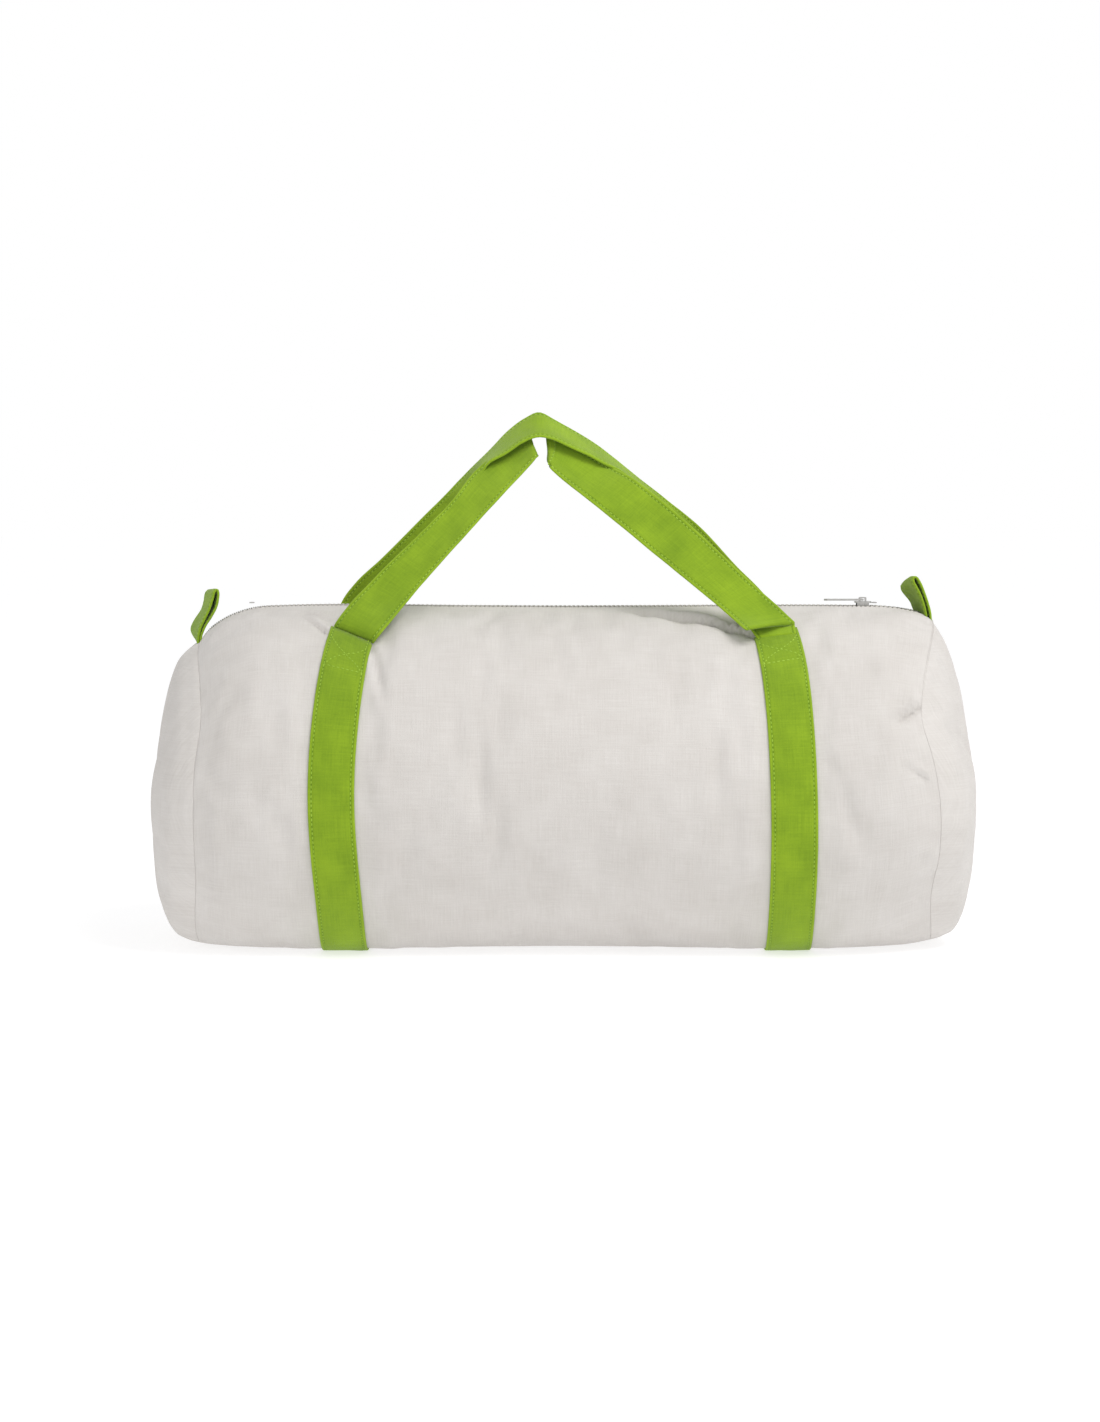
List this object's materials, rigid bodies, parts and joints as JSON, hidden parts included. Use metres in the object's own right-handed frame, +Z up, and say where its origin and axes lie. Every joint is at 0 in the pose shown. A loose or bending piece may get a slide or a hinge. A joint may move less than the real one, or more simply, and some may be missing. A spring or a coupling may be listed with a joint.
{
  "type": "barrel duffel bag",
  "caption": "Zipped cotton barrel bag with domed ends, carry handles that meet over the top, sewn girth straps and small end tabs.",
  "frame": {"origin": "on the floor under the middle of the bag", "axes": "+X along the barrel and its zip towards the closed end of the zip, -Y the front, +Z up"},
  "size_m": [0.5548, 0.2432, 0.3584],
  "materials": {
    "natural_cotton": "plain woven cotton",
    "lime_strap": "woven cotton",
    "binding_tape": "woven cotton tape",
    "zip_tape": "woven polyester tape",
    "zip_coil": "satin nylon coil",
    "zip_metal": "nickel plate"
  },
  "bodies": {
    "bag": {"body_panel": "natural_cotton", "left_end_panel": "natural_cotton", "right_end_panel": "natural_cotton", "left_seam_binding": "binding_tape", "right_seam_binding": "binding_tape", "left_girth_strap": "lime_strap", "right_girth_strap": "lime_strap", "front_zip_tape": "zip_tape", "back_zip_tape": "zip_tape", "front_zip_coil": "zip_coil", "back_zip_coil": "zip_coil", "zip_bottom_stop": "zip_metal", "zip_top_stops": "zip_metal"},
    "slider": {"zip_slider": "zip_metal"},
    "pull": {"zip_pull": "zip_metal"},
    "front_handle": {"front_handle": "lime_strap"},
    "back_handle": {"back_handle": "lime_strap"},
    "left_tab": {"left_end_tab": "lime_strap"},
    "right_tab": {"right_end_tab": "lime_strap"}
  },
  "joints": [
    {"name": "zip_slide", "type": "slide", "parent": "bag", "child": "slider", "axis": [1, 0, 0], "range_m": [-0.404, 0]},
    {"name": "pull_swing", "type": "hinge", "parent": "slider", "child": "pull", "pos_m": [0.202, 0, 0.2293], "axis": [0, 1, 0], "range_deg": [0, 180]},
    {"name": "front_handle_fold", "type": "hinge", "parent": "bag", "child": "front_handle", "pos_m": [0, -0.06704, 0.20944], "axis": [1, 0, 0], "range_deg": [0, 140]},
    {"name": "back_handle_fold", "type": "hinge", "parent": "bag", "child": "back_handle", "pos_m": [0, 0.06704, 0.20944], "axis": [-1, 0, 0], "range_deg": [0, 140]},
    {"name": "left_tab_flex", "type": "hinge", "parent": "bag", "child": "left_tab", "pos_m": [-0.2452, 0, 0.2161], "axis": [0, 1, 0], "range_deg": [-45, 25], "stiffness_Nm_per_rad": 0.02},
    {"name": "right_tab_flex", "type": "hinge", "parent": "bag", "child": "right_tab", "pos_m": [0.2452, 0, 0.2161], "axis": [0, 1, 0], "range_deg": [-10, 45], "stiffness_Nm_per_rad": 0.02}
  ]
}
